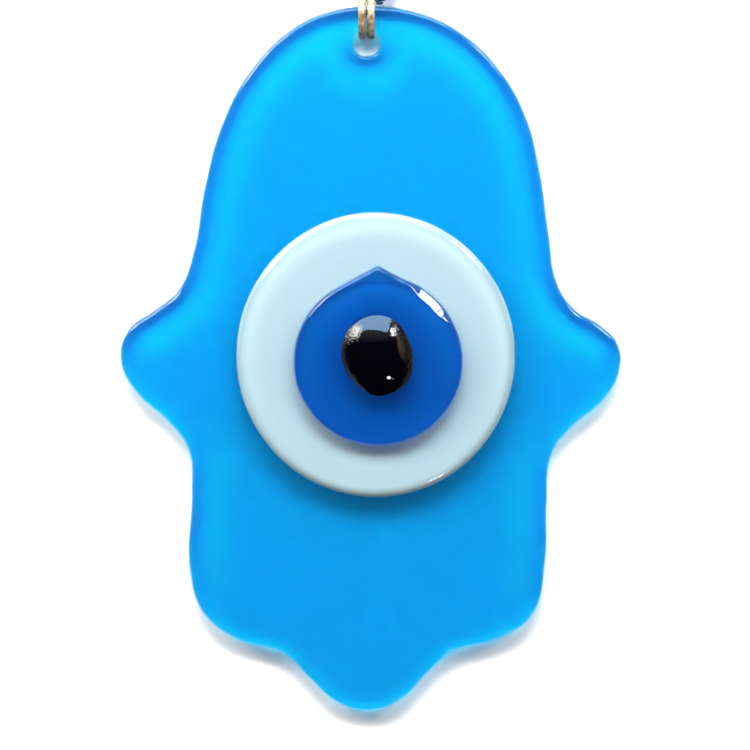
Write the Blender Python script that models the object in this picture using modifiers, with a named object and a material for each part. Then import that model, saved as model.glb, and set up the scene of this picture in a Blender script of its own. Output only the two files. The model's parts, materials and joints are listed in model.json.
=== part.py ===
"""Evil eye wall ornament: a hamsa of azure glass with an eye of fused glass discs, hung by a brass split
ring from a loop of cobalt beads. Metres, +Z up, the front faces -Y. The origin is the inner top of the
hanging loop, where a nail holds it."""

import math

import bmesh
import bpy
from mathutils import Euler, Matrix, Vector

MM = 0.001
GAP = 0.3 * MM  # between pieces that touch

# The plate, measured from the centre of its hole
HOLE_CENTRE = Vector((0, 0, -52.75 * MM))
HOLE_RADIUS = 3.05 * MM
HOLE_ROUNDING = 0.7 * MM  # of the rim of the drilled hole, ground lightly
PLATE_THICKNESS = 4.0 * MM
PLATE_ROUNDING = 1.0 * MM  # of the cut edge, softened in the kiln

# A hand-cut hamsa: x and z in millimetres from the hole's centre, clockwise from the top
PLATE_OUTLINE = [
    (1.5, 7.7), (10.5, 6.6), (20.0, 2.3), (28.2, -5.4), (34.1, -15.5), (37.3, -27.5), (39.4, -42.0),
    (41.2, -52.2), (45.0, -57.9), (50.6, -61.4), (54.4, -65.6), (54.6, -71.6), (50.9, -78.0),
    (44.0, -83.9), (40.1, -89.6), (39.1, -100.0), (38.8, -113.0), (35.9, -125.0), (28.2, -130.2),
    (19.2, -132.7), (13.4, -137.4), (8.0, -143.1), (1.0, -145.9), (-6.2, -144.2), (-12.0, -139.2),
    (-18.0, -133.3), (-27.8, -130.3), (-35.3, -124.6), (-38.4, -114.5), (-37.9, -98.0),
    (-38.6, -88.4), (-43.2, -82.1), (-49.6, -76.1), (-53.1, -69.2), (-51.6, -62.6), (-45.7, -58.0),
    (-40.6, -53.7), (-37.3, -45.2), (-34.9, -31.5), (-31.0, -17.5), (-24.4, -5.4), (-15.2, 3.4),
    (-6.5, 7.0),
]
OUTLINE_STEPS = 3  # straight steps between two outline points
HOLE_STEPS = 28

# The eye, front to back: each disc lies on the one behind it
WHITE_CENTRE = (2.0 * MM, -67.5 * MM)  # x and z from the hole's centre
WHITE_RADII = (30.1 * MM, 31.0 * MM)  # across and up: the discs are cut by hand
WHITE_THICKNESS = 3.0 * MM
IRIS_CENTRE = (2.5 * MM, -68.2 * MM)
IRIS_RADII = (18.2 * MM, 18.3 * MM)
IRIS_THICKNESS = 3.0 * MM
IRIS_POINT = 2.3 * MM  # how far the pulled point stands above the round edge
IRIS_POINT_HALF_ANGLE = math.radians(42)
PUPIL_CENTRE = (2.3 * MM, -66.7 * MM)
PUPIL_RADII = (7.65 * MM, 8.8 * MM)
PUPIL_HEIGHT = 4.4 * MM
DISC_ROUNDING = 1.2 * MM
DISC_STEPS = 44

# The split ring, two turns of one wire side by side, in the YZ plane
RING_INNER_RADIUS = 3.75 * MM
WIRE_RADIUS = 0.85 * MM
TURN_OFFSET = 0.95 * MM  # of each turn from the ring's middle
RING_RISE = 6.0 * MM  # the ring's centre above the hole's centre
CROSSOVER_ANGLE = math.radians(60)  # the stretch where the wire steps from one turn to the other
RING_STEPS = 66

# The cord and its beads, measured from the cord's lowest point, on which the ring hangs
CORD_RADIUS = 0.35 * MM
CORD_LOW = HOLE_CENTRE.z + RING_RISE + RING_INNER_RADIUS - GAP - CORD_RADIUS
BORE_RADIUS = 0.7 * MM
BEAD_RADIUS = 2.0 * MM
SEED_RADIUS = 1.1 * MM
SEED_HALF_LENGTH = 0.75 * MM
KNOT_RISE = 26.2 * MM
KNOT_RADII = (1.35 * MM, 1.1 * MM, 1.15 * MM)

# The cord's route from one side of the knot, down through the ring and up to the other side: x and z in mm
STRAND_ROUTE = [
    (-0.45, 24.75), (-1.1, 23.4), (-1.75, 21.9), (-2.1, 18.9), (-2.35, 14.8), (-2.5, 10.7),
    (-2.55, 6.6), (-2.5, 3.6), (-2.45, 2.2), (-2.3, 1.05), (-1.85, 0.38), (-1.1, 0.04), (0.0, 0.0),
    (1.1, 0.0), (2.0, 0.0), (2.9, 0.02), (3.65, 0.12), (4.1, 0.38), (4.45, 0.78), (4.85, 1.6),
    (5.3, 2.55), (5.8, 3.8), (6.0, 5.3), (5.85, 7.6), (5.3, 11.2), (4.4, 15.0), (3.2, 18.8),
    (2.15, 21.75), (1.15, 23.5), (0.45, 24.75),
]
# The loop's route, up one side, over the nail and down the other
LOOP_ROUTE = [
    (-0.4, 27.7), (-0.62, 30.0), (-1.1, 34.0), (-1.6, 38.0), (-2.05, 41.2), (-2.0, 42.6),
    (-1.2, 43.65), (0.0, 44.0), (1.2, 43.65), (2.0, 42.6), (2.05, 41.2), (1.6, 38.0), (1.1, 34.0),
    (0.62, 30.0), (0.4, 27.7),
]
CORD_SPACING = 1.0 * MM  # between the points of a cord's solid
FINE_SPACING = 0.1 * MM  # between the points that place the beads

# Each bead's middle, in mm along the cord from the left side of the knot
SEEDS = {"left_seed_high": 3.15, "left_seed_low": 21.47, "right_seed_low": 29.55, "right_seed_high": 53.0}
COBALT_BEADS = {
    "left_bead_4": 6.18,
    "left_bead_3": 10.28,
    "left_bead_2": 14.38,
    "left_bead_1": 18.48,
    "right_bead_1": 33.5,
    "right_bead_2": 37.8,
    "right_bead_3": 41.9,
    "right_bead_4": 46.0,
    "right_bead_5": 50.1,
}
BEAD_STEPS = 14

AZURE = (0.02, 0.36, 0.90, 1)
OPAL = (0.62, 0.76, 0.78, 1)
DEEP_BLUE = (0.0, 0.10, 0.50, 1)
BLACK = (0.004, 0.004, 0.006, 1)
BRASS = (0.52, 0.38, 0.18, 1)
COBALT = (0.0, 0.01, 0.45, 1)
NAVY = (0.01, 0.03, 0.12, 1)


def clear_scene():
    for obj in list(bpy.data.objects):
        bpy.data.objects.remove(obj)


def new_collection(name, hidden=False):
    collection = bpy.data.collections.new(name)
    collection.hide_render = hidden
    bpy.context.scene.collection.children.link(collection)
    return collection


def material(name, colour, roughness, metallic=0.0):
    made = bpy.data.materials.new(name)
    made.use_nodes = True
    shader = made.node_tree.nodes["Principled BSDF"]
    shader.inputs["Base Color"].default_value = colour
    shader.inputs["Roughness"].default_value = roughness
    shader.inputs["Metallic"].default_value = metallic
    made.diffuse_color = colour
    return made


def add_object(name, data, collection, finish):
    obj = bpy.data.objects.new(name, data)
    obj.data.materials.append(finish)
    collection.objects.link(obj)
    return obj


def from_hole(x, z, y=0.0):
    return HOLE_CENTRE + Vector((x, y, z))


def smooth_route(points, spacing):
    """Points at an even spacing along a Catmull-Rom curve through the given ones."""
    ends = [points[0] * 2 - points[1]] + list(points) + [points[-1] * 2 - points[-2]]
    fine = []
    for a, b, c, d in zip(ends, ends[1:], ends[2:], ends[3:]):
        slope = (c - a) / 2
        bend = a - 2.5 * b + 2 * c - d / 2
        twist = 1.5 * (b - c) + (d - a) / 2
        fine += [b + slope * t + bend * t**2 + twist * t**3 for t in (i / 20 for i in range(20))]
    fine.append(points[-1])
    lengths = [(b - a).length for a, b in zip(fine, fine[1:])]
    count = max(2, round(sum(lengths) / spacing))
    wanted = [sum(lengths) * i / count for i in range(count + 1)]
    route, walked, i = [], 0.0, 0
    for distance in wanted:
        while i < len(lengths) - 1 and walked + lengths[i] < distance:
            walked += lengths[i]
            i += 1
        route.append(fine[i].lerp(fine[i + 1], min(1.0, (distance - walked) / lengths[i])))
    return route


def wire(name, points, radius, collection, finish):
    """A round wire or cord along the points."""
    curve = bpy.data.curves.new(name, "CURVE")
    curve.dimensions = "3D"
    curve.bevel_depth = radius
    curve.bevel_resolution = 2
    curve.use_fill_caps = True
    spline = curve.splines.new("POLY")
    spline.points.add(len(points) - 1)
    for place, point in zip(spline.points, points):
        place.co = (*point, 1)
    return add_object(name, curve, collection, finish)


def add_outline(curve, points):
    """A closed smooth spline through the points, which lie in the curve's own XY plane."""
    spline = curve.splines.new("BEZIER")
    spline.bezier_points.add(len(points) - 1)
    spline.use_cyclic_u = True
    for place, (x, y) in zip(spline.bezier_points, points):
        place.co = (x, y, 0)
        place.handle_left_type = place.handle_right_type = "AUTO"


def as_mesh(obj, collection, finish):
    """The curve's object as one with a mesh, its flat faces welded to its rounded edge."""
    bpy.context.view_layer.update()
    mesh = bpy.data.meshes.new_from_object(obj.evaluated_get(bpy.context.evaluated_depsgraph_get()))
    welded = bmesh.new()
    welded.from_mesh(mesh)
    bmesh.ops.remove_doubles(welded, verts=welded.verts, dist=1e-6)
    welded.to_mesh(mesh)
    welded.free()
    mesh.materials.clear()
    name, place = obj.name, obj.matrix_world.copy()
    bpy.data.objects.remove(obj)
    solid = add_object(name, mesh, collection, finish)
    solid.matrix_world = place
    return solid


def hole_cutter(collection, finish):
    """The drill's shape, wider at both ends, so that it leaves the hole's rims rounded."""
    half = PLATE_THICKNESS / 2
    centre = (HOLE_RADIUS + HOLE_ROUNDING, half - HOLE_ROUNDING)
    rim = corner(centre, HOLE_ROUNDING, 105, 180, 3)
    slope = (rim[0][1] - rim[1][1]) / (rim[0][0] - rim[1][0])
    clear = 0.1 * MM
    outside = (rim[0][0] + (half + clear - rim[0][1]) / slope, half + clear)
    upper = [(0, half + 1 * MM), (outside[0], half + 1 * MM), outside, *rim]
    profile = upper + [(radius, -height) for radius, height in reversed(upper)]
    cutter = lathe("hole_cutter", profile, HOLE_STEPS, collection, finish)
    cutter.hide_render = True
    cutter.display_type = "WIRE"
    return cutter


def make_plate(collection, cutters, finish):
    curve = bpy.data.curves.new("hamsa_plate", "CURVE")
    curve.dimensions = "2D"
    curve.fill_mode = "BOTH"
    curve.resolution_u = OUTLINE_STEPS
    curve.extrude = PLATE_THICKNESS / 2 - PLATE_ROUNDING
    curve.bevel_depth = PLATE_ROUNDING
    curve.bevel_resolution = 1
    curve.offset = -PLATE_ROUNDING
    add_outline(curve, [(x * MM, z * MM) for x, z in PLATE_OUTLINE])
    upright = Matrix.Translation(HOLE_CENTRE) @ Matrix.Rotation(math.radians(90), 4, "X")
    outer = add_object("hamsa_plate", curve, collection, finish)
    outer.matrix_world = upright
    plate = as_mesh(outer, collection, finish)
    cutter = hole_cutter(cutters, finish)
    cutter.matrix_world = upright
    cut = plate.modifiers.new("hole", "BOOLEAN")
    cut.object = cutter


def lathe(name, profile, steps, collection, finish):
    """A turned piece about its own Z, from a profile of (radius, height) that runs down its outer side."""
    mesh = bpy.data.meshes.new(name)
    closed = profile[0][0] > 0
    edges = [(i, i + 1) for i in range(len(profile) - 1)]
    if closed:
        edges.append((len(profile) - 1, 0))
    mesh.from_pydata([(r, 0, z) for r, z in profile], edges, [])
    obj = add_object(name, mesh, collection, finish)
    screw = obj.modifiers.new("turn", "SCREW")
    screw.steps = screw.render_steps = steps
    screw.use_merge_vertices = True
    screw.merge_threshold = 1e-5
    screw.use_smooth_shade = True
    return obj


def shape_mesh(obj, move):
    """Apply the object's modifiers and move each vertex, so that a turned piece can be oval or pulled."""
    graph = bpy.context.evaluated_depsgraph_get()
    mesh = bpy.data.meshes.new_from_object(obj.evaluated_get(graph))
    obj.modifiers.clear()
    obj.data = mesh
    for vertex in mesh.vertices:
        vertex.co = move(vertex.co)
    return obj


def corner(centre, radius, start, end, count):
    """Points of an arc from one angle to another, in degrees from +X."""
    angles = [math.radians(start + (end - start) * i / count) for i in range(count + 1)]
    return [(centre[0] + radius * math.cos(a), centre[1] + radius * math.sin(a)) for a in angles]


def make_disc(name, centre, radii, thickness, back, point, collection, finish):
    """A fused disc with rounded edges: its back lies at the given distance in front of the plate's middle."""
    radius = radii[0]
    profile = [(0, thickness)]
    profile += corner((radius - DISC_ROUNDING, thickness - DISC_ROUNDING), DISC_ROUNDING, 90, 0, 3)
    profile += corner((radius - DISC_ROUNDING / 2, DISC_ROUNDING / 2), DISC_ROUNDING / 2, 0, -90, 2)
    profile.append((0, 0))
    obj = lathe(name, profile, DISC_STEPS, collection, finish)

    def pulled(co):
        around = math.atan2(co.x, co.y)
        share = max(0.0, 1 - abs(around) / IRIS_POINT_HALF_ANGLE)
        stretch = 1 + point * share**1.2 / radius * min(1.0, co.xy.length / radius) ** 4
        return Vector((co.x * stretch, co.y * stretch * radii[1] / radii[0], co.z))

    shape_mesh(obj, pulled)
    obj.rotation_euler = Euler((math.radians(90), 0, 0))
    obj.location = from_hole(centre[0], centre[1], -back)
    return obj


def make_pupil(back, collection, finish):
    radius = PUPIL_RADII[0]
    rim = 0.9 * MM
    profile = [(0, PUPIL_HEIGHT)]
    for i in range(1, 8):
        around = math.pi / 2 * i / 8
        profile.append((radius * math.sin(around), rim + (PUPIL_HEIGHT - rim) * math.cos(around)))
    profile += [(radius, rim), (radius * 0.95, 0), (0, 0)]
    obj = lathe("pupil_drop", profile, 24, collection, finish)
    shape_mesh(obj, lambda co: Vector((co.x, co.y * PUPIL_RADII[1] / radius, co.z)))
    obj.rotation_euler = Euler((math.radians(90), 0, 0))
    obj.location = from_hole(PUPIL_CENTRE[0], PUPIL_CENTRE[1], -back)
    return obj


def make_eye(collection, finishes):
    back = PLATE_THICKNESS / 2 + GAP
    make_disc("white_disc", WHITE_CENTRE, WHITE_RADII, WHITE_THICKNESS, back, 0, collection, finishes["opal"])
    back += WHITE_THICKNESS + GAP
    make_disc(
        "iris_disc", IRIS_CENTRE, IRIS_RADII, IRIS_THICKNESS, back, IRIS_POINT, collection, finishes["iris"]
    )
    back += IRIS_THICKNESS + GAP
    make_pupil(back, collection, finishes["pupil"])


def make_ring(collection, finish):
    """Two turns of one wire: one at each side, and a short stretch at the top back that steps across."""
    swept = 4 * math.pi - CROSSOVER_ANGLE - 2 * math.asin(WIRE_RADIUS / RING_INNER_RADIUS)
    middle = RING_INNER_RADIUS + WIRE_RADIUS
    step_at = math.radians(150)  # from the ring's bottom towards the back: just under its top
    points = []
    for i in range(RING_STEPS + 1):
        along = swept * (i / RING_STEPS - 0.5)
        share = max(-1.0, min(1.0, 2 * along / CROSSOVER_ANGLE))
        across = TURN_OFFSET * math.sin(math.pi / 2 * share)
        around = step_at + along
        points.append(Vector((across, middle * math.sin(around), -middle * math.cos(around))))
    obj = wire("split_ring", points, WIRE_RADIUS, collection, finish)
    obj.data.transform(Matrix.Translation((0, 0, HOLE_CENTRE.z + RING_RISE - CORD_LOW)))
    obj.location = (0, 0, CORD_LOW)
    return obj


def on_cord(x, z):
    return Vector((x * MM, 0, CORD_LOW + z * MM))


def make_cords(collection, finish):
    for name, points in (("strand_cord", STRAND_ROUTE), ("hanging_loop", LOOP_ROUTE)):
        route = smooth_route([on_cord(*point) for point in points], CORD_SPACING)
        wire(name, route, CORD_RADIUS, collection, finish)


def make_knot(collection, finish):
    mesh = bpy.data.meshes.new("hanger_knot")
    made = bmesh.new()
    oval = Matrix.Diagonal((*KNOT_RADII, 1))
    bmesh.ops.create_uvsphere(made, u_segments=12, v_segments=8, radius=1, matrix=oval)
    made.to_mesh(mesh)
    made.free()
    mesh.shade_smooth()
    obj = add_object("hanger_knot", mesh, collection, finish)
    obj.location = (0, 0, CORD_LOW + KNOT_RISE)
    return obj


def bead_profile(radius, half_length, round_count):
    """A barrel with a bore through it: the outer side from top to bottom."""
    rise = math.asin(min(1.0, half_length / radius))
    outer = []
    for i in range(round_count + 1):
        around = rise * (1 - 2 * i / round_count)
        outer.append((radius * math.cos(around), radius * math.sin(around)))
    return [(BORE_RADIUS, half_length), *outer, (BORE_RADIUS, -half_length)]


def make_beads(collection, finishes):
    cobalt_half = math.sqrt(BEAD_RADIUS**2 - (BORE_RADIUS * 1.15) ** 2)
    rows = (
        (COBALT_BEADS, BEAD_RADIUS, cobalt_half, 7, finishes["cobalt"]),
        (SEEDS, SEED_RADIUS, SEED_HALF_LENGTH, 4, finishes["seed"]),
    )
    route = smooth_route([on_cord(*point) for point in STRAND_ROUTE], FINE_SPACING)
    for places, radius, half_length, round_count, finish in rows:
        reach = round(half_length / FINE_SPACING)
        for name, distance in places.items():
            index = round(distance * MM / FINE_SPACING)
            start, end = route[index - reach], route[index + reach]
            obj = lathe(name, bead_profile(radius, half_length, round_count), BEAD_STEPS, collection, finish)
            obj.rotation_euler = (end - start).to_track_quat("Z", "Y").to_euler()
            obj.location = (start + end + 2 * route[index]) / 4


def main():
    clear_scene()
    parts = new_collection("evil_eye_ornament")
    cutters = new_collection("cutters", hidden=True)
    finishes = {
        "plate": material("azure_glass", AZURE, 0.05),
        "opal": material("opal_glass", OPAL, 0.12),
        "iris": material("deep_blue_glass", DEEP_BLUE, 0.05),
        "pupil": material("black_glass", BLACK, 0.04),
        "brass": material("antique_brass", BRASS, 0.3, 1.0),
        "cobalt": material("cobalt_glass", COBALT, 0.06),
        "seed": material("dark_seed_glass", NAVY, 0.1),
        "cord": material("navy_cord", NAVY, 0.8),
    }
    make_plate(parts, cutters, finishes["plate"])
    make_eye(parts, finishes)
    make_ring(parts, finishes["brass"])
    make_cords(parts, finishes["cord"])
    make_knot(parts, finishes["cord"])
    make_beads(parts, finishes)


main()
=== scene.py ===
"""Evil eye wall ornament: a hamsa of azure glass with an eye of fused glass discs, hung by a brass split
ring from a loop of cobalt beads. Lengths are in metres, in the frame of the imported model."""

import json
import math

import bmesh
import bpy
from mathutils import Matrix, Vector, kdtree, noise


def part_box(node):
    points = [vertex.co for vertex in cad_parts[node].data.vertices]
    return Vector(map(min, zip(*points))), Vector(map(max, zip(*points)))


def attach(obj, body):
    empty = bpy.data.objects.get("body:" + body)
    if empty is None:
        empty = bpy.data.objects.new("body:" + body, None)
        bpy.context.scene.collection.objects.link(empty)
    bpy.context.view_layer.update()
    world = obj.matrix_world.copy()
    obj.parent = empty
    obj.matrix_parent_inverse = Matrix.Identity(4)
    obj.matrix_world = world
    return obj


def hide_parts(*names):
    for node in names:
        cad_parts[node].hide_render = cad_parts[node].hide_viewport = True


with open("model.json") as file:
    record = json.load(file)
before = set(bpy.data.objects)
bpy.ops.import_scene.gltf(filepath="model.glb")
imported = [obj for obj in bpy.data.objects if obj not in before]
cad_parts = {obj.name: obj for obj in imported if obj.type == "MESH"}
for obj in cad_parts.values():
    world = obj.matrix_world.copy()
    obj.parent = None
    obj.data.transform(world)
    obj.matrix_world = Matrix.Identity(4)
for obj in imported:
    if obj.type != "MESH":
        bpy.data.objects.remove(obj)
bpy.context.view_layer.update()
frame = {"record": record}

MM = 0.001
JOINTS = {joint["name"]: joint for joint in frame["record"]["behaviour"]["joints"]}
HOLE_CENTRE = Vector(JOINTS["ornament_sway"]["pos_m"])
CORD_LOW = Vector(JOINTS["ring_swing"]["pos_m"])

# The camera: the front, a little from above
VIEW_WIDTH = 162.45 * MM  # how much of the ornament's plane the picture takes in
VIEW_ELEVATION = math.radians(8)
VIEW_DISTANCE = 1.5
VIEW_TARGET = HOLE_CENTRE + Vector((1.84 * MM, 0, -72.3 * MM))

# The plate's outline as listed points: x and z in millimetres from the hole's centre, clockwise from the top
PLATE_OUTLINE = [
    (1.5, 7.7), (10.5, 6.6), (20.0, 2.3), (28.2, -5.4), (34.1, -15.5), (37.3, -27.5), (39.4, -42.0),
    (41.2, -52.2), (45.0, -57.9), (50.6, -61.4), (54.4, -65.6), (54.6, -71.6), (50.9, -78.0),
    (44.0, -83.9), (40.1, -89.6), (39.1, -100.0), (38.8, -113.0), (35.9, -125.0), (28.2, -130.2),
    (19.2, -132.7), (13.4, -137.4), (8.0, -143.1), (1.0, -145.9), (-6.2, -144.2), (-12.0, -139.2),
    (-18.0, -133.3), (-27.8, -130.3), (-35.3, -124.6), (-38.4, -114.5), (-37.9, -98.0),
    (-38.6, -88.4), (-43.2, -82.1), (-49.6, -76.1), (-53.1, -69.2), (-51.6, -62.6), (-45.7, -58.0),
    (-40.6, -53.7), (-37.3, -45.2), (-34.9, -31.5), (-31.0, -17.5), (-24.4, -5.4), (-15.2, 3.4),
    (-6.5, 7.0),
]
PLATE_HALF = 2.0 * MM  # half the sheet's thickness
EDGE_WIDTH, EDGE_DEPTH = 1.1 * MM, 1.0 * MM  # of the front edge, softened in the kiln
BACK_ROUNDING = 0.4 * MM
PLATE_CELL = 1.0 * MM  # of the grid that carries the sheet's waviness
HOLE_RADIUS = 3.05 * MM
HOLE_ROUNDING = 0.7 * MM
FUSED = 0.33 * MM  # how far each disc reaches back over its gap, into the glass that it is fused to

RING_INNER_RADIUS = 3.75 * MM
WIRE_RADIUS = 0.85 * MM
TURN_OFFSET = 0.95 * MM
RING_RISE = 6.0 * MM
CROSSOVER_ANGLE = math.radians(60)

# The cord's routes: x and z in millimetres from its lowest point
CORD_RADIUS = 0.35 * MM
STRAND_ROUTE = [
    (-0.45, 24.75), (-1.1, 23.4), (-1.75, 21.9), (-2.1, 18.9), (-2.35, 14.8), (-2.5, 10.7),
    (-2.55, 6.6), (-2.5, 3.6), (-2.45, 2.2), (-2.3, 1.05), (-1.85, 0.38), (-1.1, 0.04), (0.0, 0.0),
    (1.1, 0.0), (2.0, 0.0), (2.9, 0.02), (3.65, 0.12), (4.1, 0.38), (4.45, 0.78), (4.85, 1.6),
    (5.3, 2.55), (5.8, 3.8), (6.0, 5.3), (5.85, 7.6), (5.3, 11.2), (4.4, 15.0), (3.2, 18.8),
    (2.15, 21.75), (1.15, 23.5), (0.45, 24.75),
]
LOOP_ROUTE = [
    (-0.4, 27.7), (-0.62, 30.0), (-1.1, 34.0), (-1.6, 38.0), (-2.05, 41.2), (-2.0, 42.6),
    (-1.2, 43.65), (0.0, 44.0), (1.2, 43.65), (2.0, 42.6), (2.05, 41.2), (1.6, 38.0), (1.1, 34.0),
    (0.62, 30.0), (0.4, 27.7),
]
CORD_SPACING = 0.16 * MM
PLY_TURN = 2.6 * MM  # of cord for one turn of its plies
KNOT_RISE = 26.2 * MM

BORE_RADIUS = 0.7 * MM
BEAD_RADIUS = 2.0 * MM
BEAD_HALF_LENGTH = 1.83 * MM
SEED_RADIUS = 1.1 * MM
SEED_HALF_LENGTH = 0.75 * MM

FACE_RINGS = 24  # across a disc's front
WALL_Y = 2.15 * MM  # just behind the plate
WALL_HALF, WALL_RISE = 1.6, 0.4
FLOOR_HALF, FLOOR_Z = 0.7, -0.30


# ---------------------------------------------------------------- shapes


def link(obj):
    bpy.context.scene.collection.objects.link(obj)
    return obj


def from_faces(name, points, faces, place=Vector()):
    mesh = bpy.data.meshes.new(name)
    mesh.from_pydata(points, [], faces)
    made = bmesh.new()
    made.from_mesh(mesh)
    bmesh.ops.recalc_face_normals(made, faces=made.faces)
    made.to_mesh(mesh)
    made.free()
    mesh.shade_smooth()
    obj = link(bpy.data.objects.new(name, mesh))
    obj.location = place
    return obj


def tube_faces(rings, sides, closed_ends=True):
    """Quads between rings of points, and a cap at each end."""
    faces = []
    for ring in range(rings - 1):
        for side in range(sides):
            a, b = ring * sides + side, ring * sides + (side + 1) % sides
            faces.append((a, b, b + sides, a + sides))
    if closed_ends:
        faces.append(tuple(reversed(range(sides))))
        faces.append(tuple(range((rings - 1) * sides, rings * sides)))
    return faces


def smooth_route(points, spacing):
    """Points at an even spacing along a Catmull-Rom curve through the given ones."""
    ends = [points[0] * 2 - points[1]] + list(points) + [points[-1] * 2 - points[-2]]
    fine = []
    for a, b, c, d in zip(ends, ends[1:], ends[2:], ends[3:]):
        slope = (c - a) / 2
        bend = a - 2.5 * b + 2 * c - d / 2
        twist = 1.5 * (b - c) + (d - a) / 2
        fine += [b + slope * t + bend * t**2 + twist * t**3 for t in (i / 20 for i in range(20))]
    fine.append(points[-1])
    lengths = [(b - a).length for a, b in zip(fine, fine[1:])]
    count = max(2, round(sum(lengths) / spacing))
    route, walked, i = [], 0.0, 0
    for step in range(count + 1):
        distance = sum(lengths) * step / count
        while i < len(lengths) - 1 and walked + lengths[i] < distance:
            walked += lengths[i]
            i += 1
        route.append(fine[i].lerp(fine[i + 1], min(1.0, (distance - walked) / lengths[i])))
    return route


def swept(name, route, radius_at, sides):
    """A tube along the route. radius_at takes the distance along it and the angle round it."""
    points, side_way, walked = [], Vector((0, 1, 0)), 0.0
    for i, middle in enumerate(route):
        along = (route[min(i + 1, len(route) - 1)] - route[max(i - 1, 0)]).normalized()
        side_way = (side_way - along * side_way.dot(along)).normalized()
        up_way = along.cross(side_way)
        walked += (middle - route[i - 1]).length if i else 0.0
        for side in range(sides):
            angle = 2 * math.pi * side / sides
            reach = radius_at(walked, angle)
            points.append(middle + side_way * (reach * math.cos(angle)) + up_way * (reach * math.sin(angle)))
    return from_faces(name, points, tube_faces(len(route), sides))


def quarter(centre, radii, start, end, count):
    """An arc of an ellipse between two angles in degrees."""
    angles = [math.radians(start + (end - start) * i / count) for i in range(count + 1)]
    return [(centre[0] + radii[0] * math.cos(a), centre[1] + radii[1] * math.sin(a)) for a in angles]


def disc(name, node, profile, outline, inset_at=None, shape=None, steps=240):
    """A piece that faces the front, round or nearly so, fitted to the width and the lower edge of its CAD
    node's box. The profile's points are an inset from the outline and a height above the back. The inset may
    be changed by the angle, and each point by the shape."""
    low, high = (Vector(corner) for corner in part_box(node))
    radius = (high.x - low.x) / 2
    points = [Vector((0, -profile[0][1], 0))]
    for inset, height in profile[1:-1]:
        for i in range(steps):
            angle = 2 * math.pi * i / steps
            inner = inset_at(angle, inset, height) if inset_at else inset
            reach = radius * outline(angle) * (1 - inner / radius)
            point = Vector((reach * math.sin(angle), -height, reach * math.cos(angle)))
            points.append(shape(point) if shape else point)
    points.append(Vector((0, -profile[-1][1], 0)))
    rings = len(profile) - 2
    faces = [(0, 1 + (i + 1) % steps, 1 + i) for i in range(steps)]
    faces += [tuple(corner + 1 for corner in face) for face in tube_faces(rings, steps, closed_ends=False)]
    last = 1 + (rings - 1) * steps
    faces += [(last + i, last + (i + 1) % steps, len(points) - 1) for i in range(steps)]
    return from_faces(name, points, faces, Vector(((low.x + high.x) / 2, high.y + FUSED, low.z + radius)))


def lathe(name, profile, steps):
    """A ring-shaped turned piece about its own Z, from a closed profile of (radius, height)."""
    points = []
    for i in range(steps):
        angle = 2 * math.pi * i / steps
        points += [(r * math.cos(angle), r * math.sin(angle), z) for r, z in profile]
    count = len(profile)
    faces = []
    for i in range(steps):
        for j in range(count):
            a, b = i * count + j, i * count + (j + 1) % count
            c, d = (b + count) % len(points), (a + count) % len(points)
            faces.append((a, b, c, d))
    return from_faces(name, points, faces)


def painted_edge_light(away, upward, at_lower=0.85):
    """Painted light and shade at a rounded edge of a sheet of glass lit from above, from -1 for painted shade
    to 1 for a painted bright band. The glass's colour carries it: the sheet is painted dark just inside its
    upper edges, brightest a little further in, and bright at its lower edges."""

    def band(strength, middle, spread):
        return strength * math.exp(-(((away - middle) / spread) ** 2))

    # The painted bands count more where the edge faces up; at lower edges a painted band is bright or dark by
    # at_lower.
    top = min(1.0, max(0.0, 0.40 + 0.60 * upward))
    low = min(1.0, max(0.0, 0.15 - upward))
    # rim is a painted highlight along the edge, dark a painted shade band, bright a painted band of light
    # further in.
    rim = band(0.9, 0.0, 0.45 * MM)
    dark = band(-0.72, 1.5 * MM, 1.2 * MM)
    bright = band(1.05, 5.3 * MM, 1.9 * MM if away < 5.3 * MM else 3.4 * MM)
    return top * (rim + dark + bright) + low * band(at_lower, 0.0, 1.7 * MM)


def store(obj, name, values):
    obj.data.attributes.new(name, "FLOAT", "POINT").data.foreach_set("value", values)


def as_share(light):
    """From -1 to 1, to the 0 to 1 that a colour ramp takes."""
    return min(1.0, max(0.0, 0.5 + 0.5 * light))


def store_round(obj, radius, scale, at_lower):
    """The painted light and shade at the edge of a round piece, whose origin is its centre. The scale is its
    painted bands' width, as a share of the plate's."""
    values = []
    for vertex in obj.data.vertices:
        from_centre = math.hypot(vertex.co.x, vertex.co.z)
        upward = vertex.co.z / max(from_centre, 1e-6)
        values.append(as_share(painted_edge_light(max(0.0, radius - from_centre) / scale, upward, at_lower)))
    store(obj, "painted_edge_light", values)


def finish(obj, material, node, body):
    obj.data.materials.clear()
    obj.data.materials.append(material)
    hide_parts(node)
    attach(obj, body)
    return obj


# ---------------------------------------------------------------- materials


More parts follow.
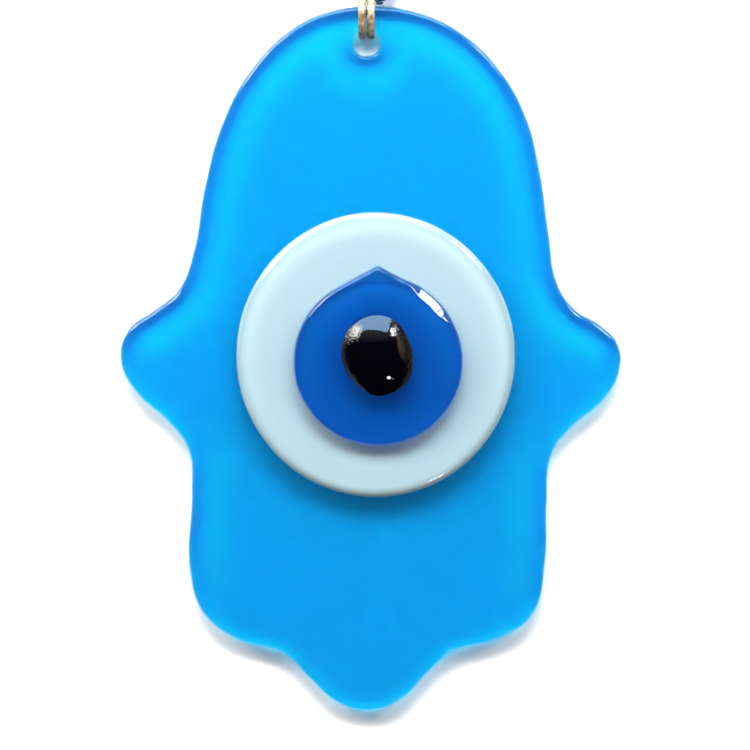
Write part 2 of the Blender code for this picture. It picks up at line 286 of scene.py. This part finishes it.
class Finish:
    """A Principled material whose detail comes from noise in the object's own coordinates."""

    def __init__(self, name, colour, roughness, **inputs):
        self.material = bpy.data.materials.new(name)
        self.material.use_nodes = True
        self.nodes = self.material.node_tree.nodes
        self.links = self.material.node_tree.links
        self.shader = self.nodes["Principled BSDF"]
        self.shader.inputs["Base Color"].default_value = (*colour, 1)
        self.shader.inputs["Roughness"].default_value = roughness
        for key, value in inputs.items():
            self.shader.inputs[key.replace("_", " ")].default_value = value
        self.place = self.nodes.new("ShaderNodeTexCoord").outputs["Object"]

    def noise(self, scale, detail=3.0, stretch=(1, 1, 1)):
        mapping = self.nodes.new("ShaderNodeMapping")
        mapping.inputs["Scale"].default_value = stretch
        texture = self.nodes.new("ShaderNodeTexNoise")
        texture.inputs["Scale"].default_value = scale
        texture.inputs["Detail"].default_value = detail
        self.links.new(self.place, mapping.inputs["Vector"])
        self.links.new(mapping.outputs[0], texture.inputs["Vector"])
        return texture.outputs["Fac"]

    def ramp(self, value, stops):
        node = self.nodes.new("ShaderNodeValToRGB")
        self.links.new(value, node.inputs["Fac"])
        while len(node.color_ramp.elements) < len(stops):
            node.color_ramp.elements.new(1.0)
        for element, (position, colour) in zip(node.color_ramp.elements, stops):
            element.position = position
            element.color = (*colour, 1)
        return node.outputs["Color"]

    def spread(self, value, low, high):
        node = self.nodes.new("ShaderNodeMapRange")
        node.inputs["From Min"].default_value = 0.3
        node.inputs["From Max"].default_value = 0.7
        node.inputs["To Min"].default_value = low
        node.inputs["To Max"].default_value = high
        self.links.new(value, node.inputs["Value"])
        return node.outputs["Result"]

    def attribute(self, name):
        node = self.nodes.new("ShaderNodeAttribute")
        node.attribute_name = name
        return node.outputs["Fac"]

    def blend(self, value, other, amount):
        """The value, moved by the other one's difference from its middle."""
        node = self.nodes.new("ShaderNodeMath")
        node.operation = "MULTIPLY_ADD"
        node.inputs[1].default_value = amount
        self.links.new(other, node.inputs[0])
        self.links.new(value, node.inputs[2])
        return node.outputs[0]

    def times(self, value, other):
        node = self.nodes.new("ShaderNodeMath")
        node.operation = "MULTIPLY"
        self.links.new(value, node.inputs[0])
        self.links.new(other, node.inputs[1])
        return node.outputs[0]

    def drive(self, key, output):
        self.links.new(output, self.shader.inputs[key])

    def bump(self, value, strength, distance):
        node = self.nodes.new("ShaderNodeBump")
        node.inputs["Strength"].default_value = strength
        node.inputs["Distance"].default_value = distance
        self.links.new(value, node.inputs["Height"])
        if self.shader.inputs["Normal"].is_linked:
            self.links.new(self.shader.inputs["Normal"].links[0].from_socket, node.inputs["Normal"])
        self.drive("Normal", node.outputs["Normal"])

    def absorb(self, tint, per_metre):
        node = self.nodes.new("ShaderNodeVolumeAbsorption")
        node.inputs["Color"].default_value = (*tint, 1)
        node.inputs["Density"].default_value = per_metre
        self.links.new(node.outputs[0], self.nodes["Material Output"].inputs["Volume"])


def clear_glass(name, tint, per_metre, ripple):
    """Coloured glass: the colour is in the depth, and the surface is fire-polished, with a faint ripple."""
    look = Finish(name, (1, 1, 1), 0.0, IOR=1.5, Transmission_Weight=1.0)
    look.absorb(tint, per_metre)
    look.drive("Roughness", look.spread(look.noise(900), 0.0, 0.03))
    look.bump(look.noise(260, 4), ripple, 0.0005)
    return look


def azure_glass():
    look = clear_glass("azure_glass", (0.0, 0.93, 1.0), 620, 0.04)
    # Painted light and shade: the stored edge bands, with a little random tone from noise, make the glass's
    # colour darker just inside its upper edges and lighter further in and at its lower edges.
    painted_light_and_tone = look.blend(look.attribute("painted_edge_light"), look.noise(60), 0.05)
    look.drive("Base Color", look.ramp(
        painted_light_and_tone, [(0.0, (1, 0.36, 0.88)), (0.5, (1, 0.80, 1)), (1.0, (1, 1, 1))]
    ))
    return look.material


def opal_glass():
    look = Finish("opal_glass", (0.35, 0.48, 0.53), 0.12, Coat_Weight=1.0, Coat_Roughness=0.03)
    # Painted light and shade: the stored edge bands, with a little random tone from noise, darken and lighten
    # the disc's colour near its rim.
    painted_light_and_tone = look.blend(look.attribute("painted_edge_light"), look.noise(90, 2), 0.08)
    look.drive("Base Color", look.ramp(
        painted_light_and_tone, [(0.2, (0.21, 0.32, 0.37)), (0.5, (0.29, 0.405, 0.455)), (1.0, (0.38, 0.50, 0.55))]
    ))
    look.drive("Roughness", look.spread(look.noise(500), 0.08, 0.2))
    look.shader.inputs["Subsurface Weight"].default_value = 0.6
    look.shader.inputs["Subsurface Radius"].default_value = (0.6, 0.8, 1.0)
    look.shader.inputs["Subsurface Scale"].default_value = 0.0022
    look.bump(look.noise(300, 3), 0.05, 0.0003)
    return look.material


def deep_blue_glass():
    look = clear_glass("deep_blue_glass", (0.0, 0.735, 1.0), 620, 0.06)
    # Painted light and shade: the stored edge bands, with a little random tone from noise, darken the iris's
    # colour inside its upper and lower edges and lighten it a little further in.
    painted_light_and_tone = look.blend(look.attribute("painted_edge_light"), look.noise(120), 0.04)
    look.drive("Base Color", look.ramp(
        painted_light_and_tone, [(0.1, (1, 0.30, 0.62)), (0.5, (1, 0.84, 1)), (1.0, (1, 1, 1))]
    ))
    return look.material


def black_glass():
    look = Finish("black_glass", (0.0004, 0.0003, 0.001), 0.02, IOR=1.52)
    look.drive("Roughness", look.spread(look.noise(1200), 0.0, 0.06))
    look.bump(look.noise(700, 4), 0.05, 0.0002)
    look.bump(look.times(look.noise(2400, 2), look.attribute("pitted")), 0.55, 0.0003)
    return look.material


def antique_brass():
    look = Finish("antique_brass", (0.52, 0.38, 0.18), 0.3, Metallic=0.6)
    worn = look.ramp(
        look.noise(900, 6),
        [(0.30, (0.13, 0.07, 0.03)), (0.46, (0.44, 0.30, 0.15)), (0.62, (0.72, 0.60, 0.44))],
    )
    look.drive("Base Color", worn)
    look.drive("Roughness", look.spread(look.noise(1500, 5), 0.18, 0.55))
    look.bump(look.noise(2200, 5, (1, 1, 0.25)), 0.5, 0.0001)
    return look.material


def cobalt_glass():
    look = clear_glass("cobalt_glass", (0.0, 0.10, 0.80), 700, 0.15)
    return look.material


def dark_seed_glass():
    look = clear_glass("dark_seed_glass", (0.0, 0.30, 0.60), 1400, 0.15)
    return look.material


def navy_cord():
    look = Finish("navy_cord", (0.01, 0.02, 0.08), 0.7, Sheen_Weight=0.4, Sheen_Roughness=0.4)
    fibre = look.noise(9000, 4, (1, 1, 0.3))
    look.drive("Base Color", look.ramp(fibre, [(0.3, (0.006, 0.010, 0.04)), (0.7, (0.03, 0.05, 0.14))]))
    look.drive("Roughness", look.spread(fibre, 0.55, 0.85))
    look.bump(fibre, 0.6, 0.00005)
    return look.material


# ---------------------------------------------------------------- camera, cords, stage


def make_camera():
    data = bpy.data.cameras.new("camera")
    data.lens = data.sensor_width * VIEW_DISTANCE / VIEW_WIDTH
    camera = link(bpy.data.objects.new("camera", data))
    back = Vector((0, -math.cos(VIEW_ELEVATION), math.sin(VIEW_ELEVATION)))
    camera.location = VIEW_TARGET + back * VIEW_DISTANCE
    camera.rotation_euler = (-back).to_track_quat("-Z", "Y").to_euler()
    bpy.context.scene.camera = camera


def on_cord(x, z):
    return CORD_LOW + Vector((x * MM, 0, z * MM))


def two_ply(walked, angle):
    lay = angle - 2 * math.pi * walked / PLY_TURN
    return CORD_RADIUS * (0.80 + 0.20 * abs(math.cos(lay)))


def cord_length(points):
    return sum((b - a).length for a, b in zip(points, points[1:]))


def make_cords(material, knot, beads):
    rows = (
        ("strand_of_cord", "strand_cord", STRAND_ROUTE, CORD_LOW, [knot, *beads]),
        ("loop_of_cord", "hanging_loop", LOOP_ROUTE, CORD_LOW + Vector((0, 0, KNOT_RISE)), []),
    )
    for name, node, points, leaves, carried in rows:
        route = smooth_route([on_cord(*point) for point in points], CORD_SPACING)
        cord = finish(swept(name, route, two_ply, 20), material, node, "hanger")


def make_knot(material):
    """Three tight turns of the cord round its two ends."""
    route, count = [], 120
    for i in range(count + 1):
        share = i / count * 2 - 1
        reach = 0.62 * MM * math.sqrt(1 - 0.55 * share**2)
        angle = 3 * 2 * math.pi * i / count
        rise = 0.72 * MM * share + 0.12 * MM * math.sin(angle)
        route.append(Vector((reach * 1.35 * math.cos(angle), reach * math.sin(angle), rise)))
    knot = swept("tied_knot", route, two_ply, 14)
    knot.location = CORD_LOW + Vector((0, 0, KNOT_RISE))
    return finish(knot, material, "hanger_knot", "hanger")


def bead_profile(radius, half_length, lip):
    rise = math.degrees(math.asin(min(1.0, (half_length - lip) / radius)))
    outer = quarter((0, 0), (radius, radius), rise, -rise, 22)
    top, bottom = outer[0], outer[-1]
    shoulder = [(BORE_RADIUS, half_length - lip), (BORE_RADIUS + lip * 0.4, half_length - lip * 0.3)]
    crown = [(BORE_RADIUS + lip, half_length), ((top[0] + BORE_RADIUS + lip) / 2, half_length - lip * 0.3)]
    upper = shoulder + crown
    return upper + [top, *outer[1:-1], bottom] + [(r, -z) for r, z in reversed(upper)]


def make_beads(cobalt, seed):
    beads = []
    for joint_name, joint in JOINTS.items():
        if not joint_name.endswith("_spin"):
            continue
        node = joint["child"]
        if "seed" in node:
            obj = lathe("seed_" + node, bead_profile(SEED_RADIUS, SEED_HALF_LENGTH, 0.12 * MM), 48)
            finish(obj, seed, node, node)
        else:
            obj = lathe("glass_" + node, bead_profile(BEAD_RADIUS, BEAD_HALF_LENGTH, 0.15 * MM), 64)
            finish(obj, cobalt, node, node)
        obj.rotation_euler = Vector(joint["axis"]).to_track_quat("Z", "Y").to_euler()
        obj.location = joint["pos_m"]
        beads.append(obj)
    return beads


# ---------------------------------------------------------------- the ornament


def outline_points():
    """The plate's outline as a smooth closed curve through its points, with the inward way at each."""
    curve = bpy.data.curves.new("outline", "CURVE")
    spline = curve.splines.new("BEZIER")
    spline.bezier_points.add(len(PLATE_OUTLINE) - 1)
    spline.use_cyclic_u = True
    for place, (x, z) in zip(spline.bezier_points, PLATE_OUTLINE):
        place.co = (x * MM, z * MM, 0)
        place.handle_left_type = place.handle_right_type = "AUTO"
    curve.resolution_u = 14
    shape = link(bpy.data.objects.new("outline", curve))
    mesh = bpy.data.meshes.new_from_object(shape.evaluated_get(bpy.context.evaluated_depsgraph_get()))
    bpy.data.objects.remove(shape)
    points = [vertex.co.copy() for vertex in mesh.vertices]
    inward = []
    for i, point in enumerate(points):
        along = points[(i + 1) % len(points)] - points[i - 1]
        inward.append(Vector((along.y, -along.x, 0)).normalized())
    return points, inward


def sheet_of_glass():
    """The plate before it is drilled: its front edge is soft and wide, and its back edge lay on the kiln's
    shelf."""
    points, inward = outline_points()
    back = quarter((BACK_ROUNDING, BACK_ROUNDING), (-BACK_ROUNDING, -BACK_ROUNDING), 90, 0, 4)
    front = quarter((EDGE_WIDTH, 2 * PLATE_HALF - EDGE_DEPTH), (-EDGE_WIDTH, EDGE_DEPTH), 0, 90, 14)
    rings = [
        [point + way * inset + Vector((0, 0, height - PLATE_HALF)) for point, way in zip(points, inward)]
        for inset, height in back + front
    ]
    vertices = [point for ring in rings for point in ring]
    return from_faces("azure_plate", vertices, tube_faces(len(rings), len(points)))


def drilled(plate):
    """Cut the hole, whose rims are rounded by the cutter's flared ends."""
    clear = 0.05 * MM
    rim_centre = (HOLE_RADIUS + HOLE_ROUNDING, PLATE_HALF - HOLE_ROUNDING)
    rim = quarter(rim_centre, (HOLE_ROUNDING, HOLE_ROUNDING), 100, 180, 7)
    slope = (rim[0][1] - rim[1][1]) / (rim[0][0] - rim[1][0])
    flare = (rim[0][0] + (PLATE_HALF + clear - rim[0][1]) / slope, PLATE_HALF + clear)
    upper = [(0, PLATE_HALF + MM), (flare[0], PLATE_HALF + MM), flare, *rim]
    profile = upper + [(r, -z) for r, z in reversed(upper)]
    cutter = lathe("drill", profile, 72)
    made = bmesh.new()
    made.from_mesh(cutter.data)
    bmesh.ops.remove_doubles(made, verts=made.verts, dist=1e-7)
    bmesh.ops.dissolve_degenerate(made, edges=made.edges, dist=1e-7)
    bmesh.ops.recalc_face_normals(made, faces=made.faces)
    made.to_mesh(cutter.data)
    made.free()
    cut = plate.modifiers.new("hole", "BOOLEAN")
    cut.object = cutter
    mesh = bpy.data.meshes.new_from_object(plate.evaluated_get(bpy.context.evaluated_depsgraph_get()))
    plate.modifiers.clear()
    plate.data = mesh
    bpy.data.objects.remove(cutter)


def ripple(co):
    """The kiln leaves the sheet very slightly uneven, most of all away from its edges."""
    wave = noise.noise(Vector((co.x, co.y, 0)) * 55) + 0.4 * noise.noise(Vector((co.x, co.y, 3)) * 140)
    return 0.035 * MM * wave


def store_plate(plate):
    """The painted light and shade at the plate's outline, and weaker at its hole, for the glass's colour."""
    points, inward = outline_points()
    tree = kdtree.KDTree(len(points))
    for i, point in enumerate(points):
        tree.insert(point, i)
    tree.balance()
    values = []
    for vertex in plate.data.vertices:
        _, i, away = tree.find((vertex.co.x, vertex.co.y, 0))
        at_outline = painted_edge_light(away, -inward[i].y)
        from_hole = math.hypot(vertex.co.x, vertex.co.y)
        at_hole = painted_edge_light(max(0.0, from_hole - HOLE_RADIUS), -vertex.co.y / from_hole)
        values.append(as_share(at_outline + 0.7 * at_hole))
    store(plate, "painted_edge_light", values)


def make_plate(material):
    plate = sheet_of_glass()
    drilled(plate)
    made = bmesh.new()
    made.from_mesh(plate.data)
    low = [min(v.co[i] for v in made.verts) for i in (0, 1)]
    high = [max(v.co[i] for v in made.verts) for i in (0, 1)]
    for axis in (0, 1):
        normal = Vector((1, 0, 0)) if axis == 0 else Vector((0, 1, 0))
        for i in range(1, int((high[axis] - low[axis]) / PLATE_CELL) + 1):
            cut_at = normal * (low[axis] + i * PLATE_CELL)
            geometry = made.verts[:] + made.edges[:] + made.faces[:]
            bmesh.ops.bisect_plane(made, geom=geometry, plane_co=cut_at, plane_no=normal, dist=1e-7)
    for vertex in made.verts:
        if abs(vertex.co.z) > PLATE_HALF - 1e-6:
            vertex.co.z += math.copysign(ripple(vertex.co), vertex.co.z)
    made.to_mesh(plate.data)
    made.free()
    plate.data.shade_smooth()
    store_plate(plate)
    plate.data.transform(Matrix.Rotation(math.radians(90), 4, "X"))
    plate.location = HOLE_CENTRE
    weighted = plate.modifiers.new("flat_faces", "WEIGHTED_NORMAL")
    weighted.weight = 60
    return finish(plate, material, "hamsa_plate", "ornament")


def round_edge(thickness, back_rounding, width, depth, radius, face_rings):
    """A disc's profile: flat back, small rounding behind, a wide soft one in front, and a flat face."""
    profile = [(radius, 0.0), (radius * 0.6, 0.0)]
    profile += quarter((back_rounding, back_rounding), (-back_rounding, -back_rounding), 90, 0, 4)
    profile += quarter((width, thickness - depth), (-width, depth), 0, 90, 12)
    inner = radius - width
    profile += [(width + inner * (i / face_rings) ** 1.4, thickness) for i in range(1, face_rings)]
    profile.append((radius, thickness))
    return profile


def thickness_of(node):
    low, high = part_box(node)
    return high[1] - low[1] + FUSED


def half_width(node):
    low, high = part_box(node)
    return (high[0] - low[0]) / 2


def tall_share(node):
    low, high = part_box(node)
    return (high[2] - low[2]) / (high[0] - low[0])


def hand_cut(point):
    """The faint unevenness of a disc cut by hand and softened in the kiln."""
    around = math.atan2(point.x, point.z)
    way = Vector((math.sin(around), 0, math.cos(around)))
    return point + way * (0.10 * MM * noise.noise(way * 2.3))


def make_white_disc(material):
    radius = half_width("white_disc")
    edge, depth, thickness = 2.2 * MM, 1.5 * MM, thickness_of("white_disc")
    profile = round_edge(thickness, 0.5 * MM, edge, depth, radius, FACE_RINGS)
    obj = disc("opal_white_disc", "white_disc", profile, lambda angle: 1.0, shape=hand_cut)
    store_round(obj, radius, scale=0.5, at_lower=0.4)
    obj.data.transform(Matrix.Diagonal((1, 1, tall_share("white_disc"), 1)))
    obj.location.z += radius * (tall_share("white_disc") - 1)
    return finish(obj, material, "white_disc", "ornament")


def lobe(angle, middle, width):
    """1 at the middle of a stretch of the outline, in degrees clockwise from the top, and 0 beyond its
    width."""
    away = abs((math.degrees(angle) - middle + 180) % 360 - 180)
    return math.cos(math.pi / 2 * min(1.0, away / width)) ** 2


def make_iris(material):
    radius = half_width("iris_disc")
    point = 2 * radius * (tall_share("iris_disc") - 1)  # how far the pulled point stands above the round edge
    tangent = math.acos(radius / (radius + point))
    edge, depth, thickness = 1.1 * MM, 1.0 * MM, thickness_of("iris_disc")

    def outline(angle):
        """A circle with one pulled point at its top, whose sides run straight to it."""
        turn = abs((angle + math.pi) % (2 * math.pi) - math.pi)
        straight = 1 / math.cos(tangent - turn) if turn < tangent else 1.0
        return straight + 0.014 * lobe(angle, 27, 16)

    def facet(angle, inset, height):
        """To the right of the point, the edge is ground to a flat slope."""
        if height < thickness - depth:
            return inset
        share = min(1.0, 1.6 * lobe(angle, 42, 24))
        slope_width = depth / math.tan(math.radians(30))
        ground = slope_width * (height - thickness + depth) / depth
        if inset > edge:
            ground = inset + (slope_width - edge) * (radius - inset) / (radius - edge)
        return inset + share * (ground - inset)

    profile = round_edge(thickness, 0.4 * MM, edge, depth, radius, FACE_RINGS)
    obj = disc("pointed_iris", "iris_disc", profile, outline, facet, hand_cut)
    store_round(obj, radius, scale=0.55, at_lower=-0.6)
    return finish(obj, material, "iris_disc", "ornament")


def make_pupil(material):
    radius = half_width("pupil_drop")
    height = thickness_of("pupil_drop")
    steepest = math.radians(44)  # of the cap, which is part of a ball
    rim = height - radius * math.tan(steepest / 2)
    rings = 26
    profile = [(radius, 0.0), (0.35 * MM, 0.0), (0.12 * MM, 0.3 * MM)]
    for i in range(rings):
        around = steepest * (1 - i / rings)
        rise = (math.cos(around) - math.cos(steepest)) / (1 - math.cos(steepest))
        profile.append((radius * (1 - math.sin(around) / math.sin(steepest)), rim + (height - rim) * rise))
    profile.append((radius, height))

    def egg(angle):
        """Full at the upper left and lower right, and flat at the lower left."""
        full = 0.03 * lobe(angle, 300, 40) + 0.07 * lobe(angle, 125, 42)
        flat = 0.10 * lobe(angle, 222, 50) + 0.03 * lobe(angle, 62, 34)
        return 0.998 + full - flat

    obj = disc("drop_pupil", "pupil_drop", profile, egg)
    obj.data.set_sharp_from_angle(angle=math.radians(30))
    sideways = [(abs(vertex.co.x) + 0.2 * abs(vertex.co.z)) / radius for vertex in obj.data.vertices]
    store(obj, "pitted", [min(1.0, share) ** 3 for share in sideways])
    obj.data.transform(Matrix.Diagonal((1, 1, tall_share("pupil_drop"), 1)))
    obj.location.z += radius * (tall_share("pupil_drop") - 1)
    return finish(obj, material, "pupil_drop", "ornament")


def make_ring(material):
    """Two turns of one wire, one at each side, with a short stretch that steps across."""
    swept_angle = 4 * math.pi - CROSSOVER_ANGLE - 2 * math.asin(WIRE_RADIUS / RING_INNER_RADIUS)
    middle = RING_INNER_RADIUS + WIRE_RADIUS
    step_at = math.radians(150)
    centre = HOLE_CENTRE + Vector((0, 0, RING_RISE))
    count = 260
    route = []
    for i in range(count + 1):
        along = swept_angle * (i / count - 0.5)
        share = max(-1.0, min(1.0, 2 * along / CROSSOVER_ANGLE))
        across = TURN_OFFSET * math.sin(math.pi / 2 * share)
        around = step_at + along
        route.append(centre + Vector((across, middle * math.sin(around), -middle * math.cos(around))))
    length = cord_length(route)

    def wire(walked, angle):
        end = min(walked, length - walked)
        return WIRE_RADIUS * min(1.0, 0.80 + 0.20 * math.sqrt(min(1.0, end / (0.4 * MM))))

    return finish(swept("wire_ring", route, wire, 28), material, "split_ring", "ring")


# ---------------------------------------------------------------- stage and light


def grid_plane(name, size, place, turn):
    mesh = bpy.data.meshes.new(name)
    made = bmesh.new()
    bmesh.ops.create_grid(made, x_segments=1, y_segments=1, size=size, matrix=turn)
    made.to_mesh(mesh)
    made.free()
    obj = link(bpy.data.objects.new(name, mesh))
    obj.location = place
    return obj


def painted(name, scale, darker, lighter, roughness):
    """Paint with large, faint clouds."""
    look = Finish(name, lighter, roughness)
    look.drive("Base Color", look.ramp(look.noise(scale), [(0.3, darker), (0.7, lighter)]))
    return look


def make_stage():
    upright = Matrix.Rotation(math.radians(90), 4, "X")
    wall = grid_plane("wall", WALL_HALF, (0, WALL_Y, WALL_RISE), upright)
    paint = painted("wall_paint", 4, (0.90, 0.90, 0.91), (0.93, 0.93, 0.93), 0.9)
    one_sided(paint)
    wall.data.materials.append(paint.material)
    floor = grid_plane("floor", FLOOR_HALF, (0, WALL_Y - FLOOR_HALF, FLOOR_Z), Matrix.Identity(4))
    floor.visible_glossy = floor.visible_diffuse = False
    floor.visible_transmission = floor.visible_shadow = False
    pale = painted("floor_paint", 6, (0.83, 0.83, 0.83), (0.87, 0.87, 0.87), 0.8)
    floor.data.materials.append(pale.material)


def one_sided(look):
    """The wall has only a front: it is clear from behind, and to the light that a piece's back gathers."""
    path = look.nodes.new("ShaderNodeLightPath")
    side = look.nodes.new("ShaderNodeNewGeometry")
    either = look.nodes.new("ShaderNodeMath")
    either.operation = "ADD"
    either.use_clamp = True
    look.links.new(path.outputs["Diffuse Depth"], either.inputs[0])
    look.links.new(side.outputs["Backfacing"], either.inputs[1])
    clear = look.nodes.new("ShaderNodeBsdfTransparent")
    mix = look.nodes.new("ShaderNodeMixShader")
    look.links.new(either.outputs[0], mix.inputs[0])
    look.links.new(look.shader.outputs[0], mix.inputs[1])
    look.links.new(clear.outputs[0], mix.inputs[2])
    look.links.new(mix.outputs[0], look.nodes["Material Output"].inputs["Surface"])


def area_light(name, azimuth, elevation, distance, size, power, colour=(1, 1, 1)):
    """A softbox that faces the eye. Azimuth 0 is the front, and turns to the right. The angles are in
    degrees, the distance and the size in metres, and the power in watts."""
    data = bpy.data.lights.new(name, "AREA")
    data.shape = "RECTANGLE"
    data.size, data.size_y = size
    data.energy = power
    data.color = colour
    lamp = link(bpy.data.objects.new(name, data))
    turn, rise = math.radians(azimuth), math.radians(elevation)
    way = Vector((math.sin(turn) * math.cos(rise), -math.cos(turn) * math.cos(rise), math.sin(rise)))
    lamp.location = VIEW_TARGET + way * distance
    lamp.rotation_euler = (-way).to_track_quat("-Z", "Y").to_euler()
    return lamp


def make_world():
    """A pale room. Light that left a matt surface finds it dim in front and pale behind, and a mirroring
    surface finds it dark in front and bright above."""
    world = bpy.data.worlds.new("studio")
    bpy.context.scene.world = world
    world.use_nodes = True
    nodes, links = world.node_tree.nodes, world.node_tree.links
    direction = nodes.new("ShaderNodeSeparateXYZ")
    links.new(nodes.new("ShaderNodeTexCoord").outputs["Generated"], direction.inputs[0])
    path = nodes.new("ShaderNodeLightPath")

    def ramp(value, low, high):
        node = nodes.new("ShaderNodeValToRGB")
        for element, (position, colour) in zip(node.color_ramp.elements, (low, high)):
            element.position = position
            element.color = (*colour, 1)
        links.new(value, node.inputs["Fac"])
        return node.outputs["Color"]

    mirrored = nodes.new("ShaderNodeMath")
    mirrored.operation = "SUBTRACT"
    mirrored.use_clamp = True
    links.new(path.outputs["Is Glossy Ray"], mirrored.inputs[0])
    links.new(path.outputs["Is Transmission Ray"], mirrored.inputs[1])
    matt = nodes.new("ShaderNodeMixRGB")
    matt.inputs["Color1"].default_value = (0.88, 0.88, 0.88, 1)
    links.new(path.outputs["Diffuse Depth"], matt.inputs["Fac"])
    room = ramp(direction.outputs["Y"], (0.0, (0.17, 0.12, 0.09)), (0.3, (0.75, 0.78, 0.80)))
    links.new(room, matt.inputs["Color2"])
    mix = nodes.new("ShaderNodeMixRGB")
    links.new(mirrored.outputs[0], mix.inputs["Fac"])
    links.new(matt.outputs["Color"], mix.inputs["Color1"])
    above = ramp(direction.outputs["Z"], (0.30, (0.012, 0.012, 0.016)), (0.85, (0.8, 0.85, 0.95)))
    links.new(above, mix.inputs["Color2"])
    links.new(mix.outputs["Color"], nodes["Background"].inputs["Color"])


def make_light():
    """The soft light above, which casts the shadows, and the windows and lamps that the glass mirrors."""
    make_world()
    # name, azimuth, elevation, distance, size, power, colour
    key = area_light("key", -2, 51, 0.75, (0.6, 0.22), 12.5, (0.93, 0.97, 1.0))
    key.visible_glossy = False
    sky = area_light("sky_window", -10, 62, 1.0, (1.25, 0.75), 32, (0.33, 0.62, 1.0))
    sky.visible_diffuse = sky.visible_transmission = False
    area_light("right_window", 46, 33, 1.0, (0.22, 0.22), 4.5)
    area_light("left_lamp", -56, 34, 1.0, (0.40, 0.36), 9.0, (1.0, 0.95, 0.85))
    area_light("low_lamp", 24, -44, 1.0, (0.10, 0.03), 0.7)
    area_light("side_panel", 58, 10, 1.0, (0.16, 0.34), 0.4, (1.0, 0.72, 0.45))
    bpy.context.scene.view_settings.view_transform = "Standard"


def main():
    make_camera()
    cord = navy_cord()
    knot = make_knot(cord)
    beads = make_beads(cobalt_glass(), dark_seed_glass())
    make_cords(cord, knot, beads)
    make_light()
    make_stage()
    make_plate(azure_glass())
    make_white_disc(opal_glass())
    make_iris(deep_blue_glass())
    make_pupil(black_glass())
    make_ring(antique_brass())


main()
